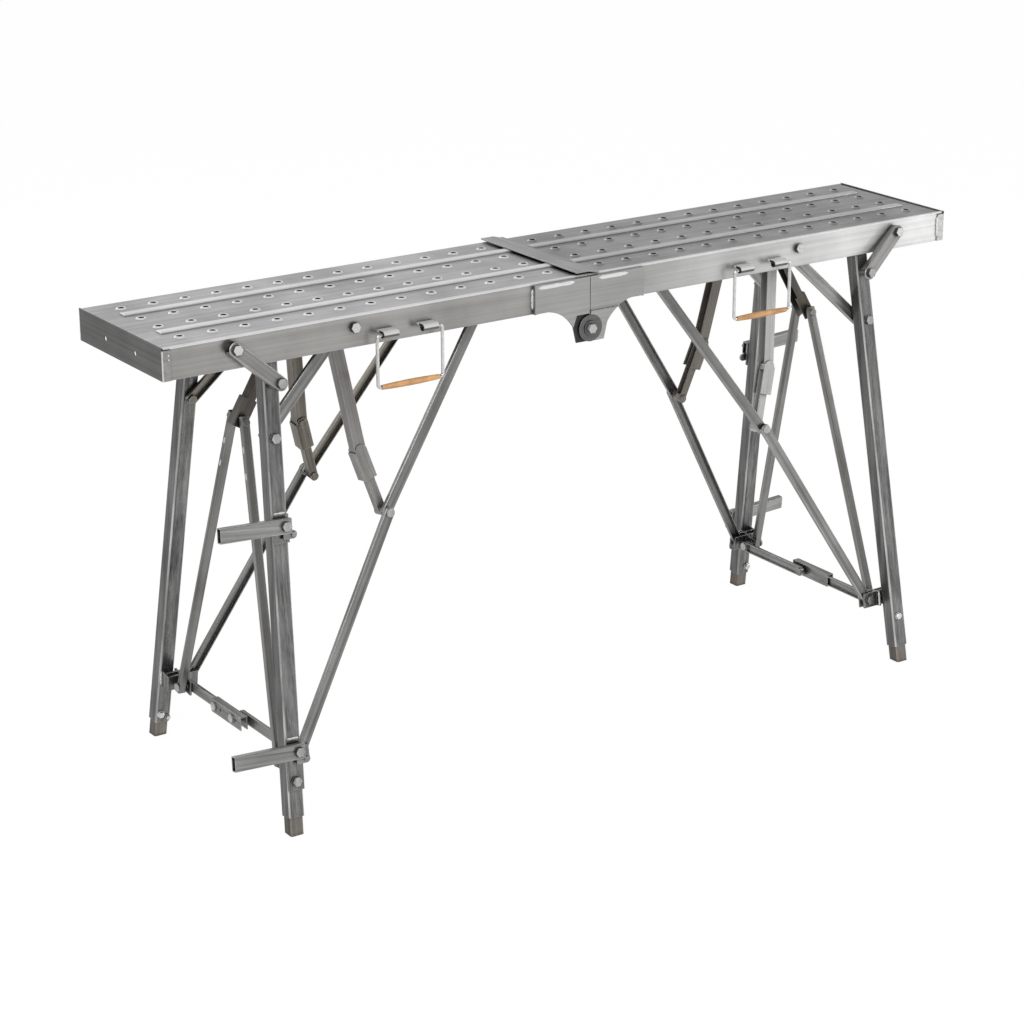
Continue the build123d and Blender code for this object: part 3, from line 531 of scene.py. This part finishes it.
def side_limits(name, middle, half):
    # limits on X about a place of the left side, mirrored for the right side
    middle = -middle if "_right_" in name else middle
    return (middle - half, middle + half)


def leg_heads(name, lean):
    # the bolt heads of a leg: those of the link and the steps, and the two that lie close on the tube
    places = [beyond(lean, plane_level + head_out)]
    for x, z, out in low_heads:
        near = (side_limits(name, x, low_head_half), any_place, (z - low_head_half, z + low_head_half))
        places.append(both(near, beyond(lean, plane_level + out)))
    heads = []
    # painted shade on the sides of the heads, with their faces toward the lean pale
    for place in places:
        heads.append((place, head_side_tone))
        heads.append((both(place, facing(lean, top_facing)), head_tone))
    reach = cross_pin_reach if name.startswith("rear") else -cross_pin_reach
    for x in cross_pin_ends:
        heads.append(((side_limits(name, x, 0.0012), (reach - cross_pin_half, reach + cross_pin_half),
                       (cross_pin_height - cross_pin_half, cross_pin_height + cross_pin_half)), zinc_tone))
    return heads


def rivet_heads(name):
    # rivets that stand out of the crossbar's head
    limits = (rivet_face, None) if "_right_" in name else (None, -rivet_face)
    return [((limits, any_place, any_place), zinc_tone)]


for name, piece in nodes.items():
    finish = finish_for(name)
    if finish:
        settings = dict(axis=long_axis(piece))
        lean = rear_lean if name.startswith("rear") else front_lean
        if name.endswith(bent_pieces):
            settings["bend"] = lean
        if name.endswith("leg"):
            settings["matt_spots_and_painted_light"] = leg_heads(name, lean)
        if name.endswith("crossbar"):
            settings["matt_spots_and_painted_light"] = rivet_heads(name)
        if name.endswith("diagonal_lower"):
            settings["matt_spots_and_painted_light"] = [(beyond(lean, plane_level + knee_rivet_out), head_tone)]
        settings.update(finish)
        dress(piece, steel(name + "_steel", **settings))


# Grip sleeve of the handles
def grip_material():
    material = new_material("grip")
    graph = Graph(material)
    coords = graph.add("ShaderNodeTexCoord").outputs["Object"]
    turn = Vector(along_deck).to_track_quat("X", "Z").to_euler()
    streak = graph.noise(graph.along(coords, turn, 0.06, 0.0016), 1.0, 4.0, 0.6)
    cloud = graph.noise(coords, 60.0, 3.0, 0.6)
    level = graph.spread(graph.math("ADD", streak, cloud), 0.75, 1.25, 0.0, 1.0)
    colour = graph.mix(level, shade(grip_tone, 0.62), shade(grip_tone, 1.25))
    shader = graph.add("ShaderNodeBsdfPrincipled")
    graph.link(colour, shader.inputs["Base Color"])
    graph.link(graph.spread(level, 0.0, 1.0, 0.52, 0.36), shader.inputs["Roughness"])
    bump = graph.add("ShaderNodeBump")
    bump.inputs["Strength"].default_value = 0.25
    bump.inputs["Distance"].default_value = bump_depth
    graph.link(streak, bump.inputs["Height"])
    graph.link(bump.outputs["Normal"], shader.inputs["Normal"])
    output = graph.add("ShaderNodeOutputMaterial")
    graph.link(shader.outputs["BSDF"], output.inputs["Surface"])
    return material


sleeve = grip_material()
for side_name in ("left", "right"):
    dress(nodes[side_name + "_handle_grip"], sleeve)


# Mesh helpers
def add_piece(name, data, body, material, smooth=True):
    mesh = bpy.data.meshes.new(name)
    bmesh.ops.recalc_face_normals(data, faces=data.faces)
    data.to_mesh(mesh)
    data.free()
    for polygon in mesh.polygons:
        polygon.use_smooth = smooth
    piece = bpy.data.objects.new(name, mesh)
    scene.collection.objects.link(piece)
    dress(piece, material)
    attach(piece, body)
    return piece


def join_rings(data, rings, closed_ends=True):
    for first, second in zip(rings, rings[1:]):
        count = len(first)
        for index in range(count):
            after = (index + 1) % count
            data.faces.new((first[index], first[after], second[after], second[index]))
    if closed_ends:
        data.faces.new(rings[0])
        data.faces.new(rings[-1])


def revolve(data, frame_at, profile, segments=24, closed_ends=False):
    # turned shape from pairs of radius and height about the frame's Z axis
    rings = []
    for radius, height in profile:
        ring = []
        for index in range(segments):
            angle = 2 * math.pi * index / segments
            point = Vector((radius * math.cos(angle), radius * math.sin(angle), height))
            ring.append(data.verts.new(frame_at @ point))
        rings.append(ring)
    join_rings(data, rings, closed_ends)


def weld_bead(data, start, end, wide, deep, face, seed, pitch=0.0028):
    # run of overlapping ripples on a face, wide along the face and deep out of it
    chance = random.Random(seed)
    start = Vector(start)
    end = Vector(end)
    face = Vector(face).normalized()
    ahead = (end - start).normalized()
    across = ahead.cross(face).normalized()
    steps = max(6, int((end - start).length / pitch) * 4)
    rings = []
    swell = 1.0
    for step in range(steps + 1):
        part = step / steps
        if step % 4 == 0:
            swell = chance.uniform(0.82, 1.12)
        taper = min(1.0, 0.25 + 6 * part, 0.25 + 6 * (1 - part))
        ripple = 0.82 + 0.18 * math.sin(2 * math.pi * step / 4)
        ring = []
        for index in range(10):
            angle = 2 * math.pi * index / 10
            offset = across * (math.cos(angle) * wide * swell * taper / 2)
            offset += face * (math.sin(angle) * deep * ripple * swell * taper)
            ring.append(data.verts.new(start.lerp(end, part) + offset))
        rings.append(ring)
    join_rings(data, rings)


# Raised collars round the deck holes, with painted shade on the walls inside them
bright_steel = steel("bright_steel", along_deck, white_tone, rough=0.36, contrast=0.10,
                     matt_spots_and_painted_light=[((any_place, any_place, (0.0, None)), white_tone)])
# painted shade: near-black steel for the insides of the holes and the open ends of the steps
painted_shade_steel = steel("painted_shade_steel", along_deck, dark_tone, rough=0.6, contrast=0.3, edge=0.0)
dull_steel = steel("dull_steel", along_deck, collar_tone, rough=0.36, contrast=0.15)
# painted highlight: the left collars are drawn pale, the right ones at collar_tone
collar_steel = {"left": bright_steel, "right": dull_steel}
collar_profile = ((0.0084, -0.0003), (0.0076, 0.0005), (0.0066, 0.0015), (0.0058, 0.0020), (0.0050, 0.0019),
                  (0.0045, 0.0014))
lining_profile = ((0.0045, 0.0014), (0.0042, 0.0007), (0.0041, -0.0032))
for side_name, sign in (("left", -1), ("right", 1)):
    collars = bmesh.new()
    linings = bmesh.new()
    for row in hole_rows:
        for index in range(hole_count):
            centre = Matrix.Translation((sign * (hole_first + index * hole_pitch), row, deck_top))
            revolve(collars, centre, collar_profile)
            revolve(linings, centre, lining_profile)
    add_piece(side_name + "_hole_collars", collars, "deck_" + side_name, collar_steel[side_name])
    add_piece(side_name + "_hole_linings", linings, "deck_" + side_name, painted_shade_steel)

# Welds of the gussets, with the ground strips along the deck's top edge
for side_name, sign in (("left", -1), ("right", 1)):
    welds = bmesh.new()
    for front in (-1, 1):
        face = (0.0, front, 0.0)
        edge_x = sign * (gusset_reach + 0.0006)
        edge_y = front * (half_width + 0.0004)
        edge_low, edge_high = gusset_weld_heights
        weld_bead(welds, (edge_x, edge_y, edge_low), (edge_x, edge_y, edge_high), 0.006, 0.0026, face,
                  weld_seeds["gusset"] + front)
        strip_start, strip_end = top_strips[side_name]
        strip_y = front * gusset_front
        weld_bead(welds, (strip_start, strip_y, strip_weld_height), (strip_end, strip_y, strip_weld_height),
                  0.0065, 0.0012, face, weld_seeds["strip"] + front, 0.009)
    add_piece(side_name + "_gusset_welds", welds, "deck_" + side_name, bright_steel)

# Welds of the end caps: two spots on the left front strip, a run on the right one
spot_welds = bmesh.new()
for height in cap_spot_heights:
    spot = Vector((cap_spot_x, -cap_front, height))
    reach = Vector((cap_spot_reach, 0.0, 0.0))
    weld_bead(spot_welds, spot - reach, spot + reach, 0.003, 0.0008, to_front, weld_seeds["spot"])
add_piece("left_cap_welds", spot_welds, "deck_left", bright_steel)
run_weld = bmesh.new()
run_x = half_length - cap_wrap
run_y = -cap_front + 0.0009
run_low, run_high = cap_run_heights
weld_bead(run_weld, (run_x, run_y, run_low), (run_x, run_y, run_high), 0.005, 0.0018, to_front,
          weld_seeds["run"])
add_piece("right_cap_welds", run_weld, "deck_right", bright_steel)


# Places on the legs
def on_corner(corner, point):
    # a point or direction of the front left corner, carried to the named corner
    x = -point[0] if corner.endswith("right") else point[0]
    y = -point[1] if corner.startswith("rear") else point[1]
    return Vector((x, y, point[2]))


def plane_point(corner, x, along, out):
    # along is counted down from the pivot line, out from the plane of the leg
    reach = plane_reach - along * math.sin(splay) + out * math.cos(splay)
    return on_corner(corner, (x, -reach, plane_height + along * math.cos(splay) + out * math.sin(splay)))


def axis_at(along):
    part = (along - leg_top[1]) / (leg_floor[1] - leg_top[1])
    return leg_top[0] + part * (leg_floor[0] - leg_top[0])


def step_point(corner, drop, back, up, out):
    # back is counted along the step from its bolt, up square to it
    x = axis_at(-drop) - back * math.cos(leg_angle) + up * math.sin(leg_angle)
    along = -drop + back * math.sin(leg_angle) + up * math.cos(leg_angle)
    return plane_point(corner, x, along, out)


def hex_bolt(data, place, direction, across, high):
    frame_at = Matrix.Translation(place) @ Vector(direction).to_track_quat("Z", "Y").to_matrix().to_4x4()
    washer = across * 0.62
    radius = across / math.sqrt(3)
    revolve(data, frame_at, ((washer, -0.0004), (washer, 0.0010), (radius, 0.0012)), 24, True)
    revolve(data, frame_at, ((radius, 0.0008), (radius, high * 0.8), (radius * 0.8, high)), 6, True)


# Dark sheets of painted shade inside the open ends of the steps, and the weld above each step plate
for corner in stepped_corners:
    welds = bmesh.new()
    for step_name, drop in step_drops.items():
        shade_sheet = bmesh.new()
        rings = []
        for back in (step_end - 0.002, step_end):
            ring = [step_point(corner, drop, back, up, out)
                    for up, out in ((-step_inside_half, step_inside[0]), (step_inside_half, step_inside[0]),
                                    (step_inside_half, step_inside[1]), (-step_inside_half, step_inside[1]))]
            rings.append([shade_sheet.verts.new(point) for point in ring])
        join_rings(shade_sheet, rings)
        body = corner + "_" + step_name
        add_piece(body + "_plug", shade_sheet, body, painted_shade_steel, smooth=False)
        weld_bead(welds, step_point(corner, drop, 0.0095, step_plate_top, leg_half),
                  step_point(corner, drop, -0.0095, step_plate_top, leg_half), 0.005, 0.0022,
                  on_corner(corner, outward), weld_seeds["step"])
    add_piece(corner + "_step_welds", welds, corner + "_leg", bright_steel)

# Welds of the foot brackets
for corner in corners:
    welds = bmesh.new()
    for wall in bracket_walls:
        middle = bracket_rise - floor_drop
        weld_bead(welds, plane_point(corner, wall, middle - bracket_half, -leg_half),
                  plane_point(corner, wall, middle + bracket_half, -leg_half), 0.004, 0.0018,
                  -on_corner(corner, outward), weld_seeds["bracket"])
    add_piece(corner + "_bracket_welds", welds, corner + "_leg", bright_steel)

# Bright linings in the slots of the middle bars
for corner in corners:
    linings = bmesh.new()
    ahead = on_corner(corner, bar_ahead).normalized()
    side = on_corner(corner, to_left)
    side = (side - ahead * side.dot(ahead)).normalized()
    turn = Matrix((ahead, side.cross(ahead), side)).transposed().to_4x4()
    for place in slot_places:
        oval = turn @ Matrix.Diagonal((*slot_size, 1.0, 1.0))
        frame_at = Matrix.Translation(on_corner(corner, place)) @ oval
        revolve(linings, frame_at, ((1.0, -0.0012), (1.0, 0.0), (0.8, 0.0004)), 20, True)
    add_piece(corner + "_slot_linings", linings, corner + "_middle_bar", bright_steel)

# Bolts near the lower ends of the legs: place across the leg, rise from the floor and face
bolt_steel = steel("bolt_steel", upright, zinc_tone, rough=0.26, contrast=0.15)
leg_bolts = (("front_right", 0.002, 0.077, 1, 0.010), ("rear_right", -0.006, 0.040, -1, 0.010),
             ("rear_left", -0.005, 0.041, -1, 0.010), ("rear_left", 0.007, 0.034, -1, 0.007))
for number, (corner, across, rise, face, size) in enumerate(leg_bolts):
    bolt = bmesh.new()
    along = rise - floor_drop
    place = plane_point(corner, axis_at(along) + across, along, face * leg_half)
    hex_bolt(bolt, place, face * on_corner(corner, outward), size, 0.005)
    add_piece("leg_bolt_" + str(number), bolt, corner + "_leg", bolt_steel, smooth=False)


# Floor, sky and lamps
def add_floor():
    bpy.ops.mesh.primitive_plane_add(size=floor_size, location=(0.0, 0.0, 0.0))
    floor = bpy.context.object
    floor.name = "floor"
    material = new_material("floor")
    graph = Graph(material)
    path = graph.add("ShaderNodeLightPath")
    split = graph.add("ShaderNodeSeparateXYZ")
    graph.link(graph.add("ShaderNodeNewGeometry").outputs["Position"], split.inputs["Vector"])
    share = graph.spread(split.outputs["X"], *floor_ends, floor_left_share, floor_right_share)
    dimmed = graph.math("MULTIPLY", path.outputs["Is Glossy Ray"], share)
    seen = graph.math("MAXIMUM", path.outputs["Is Camera Ray"], dimmed)
    seen = graph.math("MAXIMUM", seen, path.outputs["Is Transmission Ray"])
    diffuse = graph.add("ShaderNodeBsdfDiffuse")
    diffuse.inputs["Color"].default_value = floor_colour
    glow = graph.add("ShaderNodeEmission")
    glow.inputs["Color"].default_value = plain_white
    glow.inputs["Strength"].default_value = floor_glow
    blend = graph.add("ShaderNodeMixShader")
    graph.link(graph.math("MULTIPLY", seen, floor_blend), blend.inputs["Fac"])
    graph.link(diffuse.outputs["BSDF"], blend.inputs[1])
    graph.link(glow.outputs["Emission"], blend.inputs[2])
    output = graph.add("ShaderNodeOutputMaterial")
    graph.link(blend.outputs["Shader"], output.inputs["Surface"])
    dress(floor, material)


def add_sky():
    # white behind the object, dimmer overhead and toward the camera
    world = bpy.data.worlds.new("sky")
    scene.world = world
    world.use_nodes = True
    world.node_tree.nodes.clear()
    graph = Graph(world)
    path = graph.add("ShaderNodeLightPath")
    coords = graph.add("ShaderNodeTexCoord").outputs["Generated"]
    split = graph.add("ShaderNodeSeparateXYZ")
    graph.link(coords, split.inputs["Vector"])
    depth = graph.spread(split.outputs["Y"], -0.6, 0.9, 0.35, 1.0)
    lift = graph.spread(split.outputs["Z"], 0.1, 0.9, 1.0, 0.45)
    aside = graph.spread(split.outputs["X"], 0.30, 0.70, 1.10, 0.70)
    studio = graph.math("MULTIPLY", graph.math("MULTIPLY", depth, lift), aside)
    seen = graph.math("MAXIMUM", path.outputs["Is Glossy Ray"], path.outputs["Is Transmission Ray"])
    level = graph.mix_value(seen, sky_level, studio)
    level = graph.mix_value(path.outputs["Is Camera Ray"], level, 1.0)
    background = graph.add("ShaderNodeBackground")
    background.inputs["Color"].default_value = plain_white
    graph.link(level, background.inputs["Strength"])
    output = graph.add("ShaderNodeOutputWorld")
    graph.link(background.outputs["Background"], output.inputs["Surface"])


def add_lamp(name, place, target, size, power):
    data = bpy.data.lights.new(name, "AREA")
    data.shape = "RECTANGLE"
    data.size = size[0]
    data.size_y = size[1]
    data.energy = power
    lamp = bpy.data.objects.new(name, data)
    scene.collection.objects.link(lamp)
    lamp.location = place
    lamp.rotation_mode = "QUATERNION"
    lamp.rotation_quaternion = (Vector(target) - Vector(place)).to_track_quat("-Z", "Y")


def add_camera():
    data = bpy.data.cameras.new("camera")
    data.lens = camera_lens
    data.sensor_width = 36.0
    camera = bpy.data.objects.new("camera", data)
    scene.collection.objects.link(camera)
    flat = math.cos(camera_elevation)
    back = Vector((math.sin(camera_azimuth) * flat, -math.cos(camera_azimuth) * flat,
                   math.sin(camera_elevation)))
    camera.rotation_mode = "QUATERNION"
    turn = (-back).to_track_quat("-Z", "Y")
    camera.rotation_quaternion = turn @ Quaternion(upright, camera_roll)
    camera.location = camera_place
    scene.camera = camera


add_floor()
add_sky()
for lamp in lamps:
    add_lamp(*lamp)
add_camera()

scene.view_settings.view_transform = "Standard"
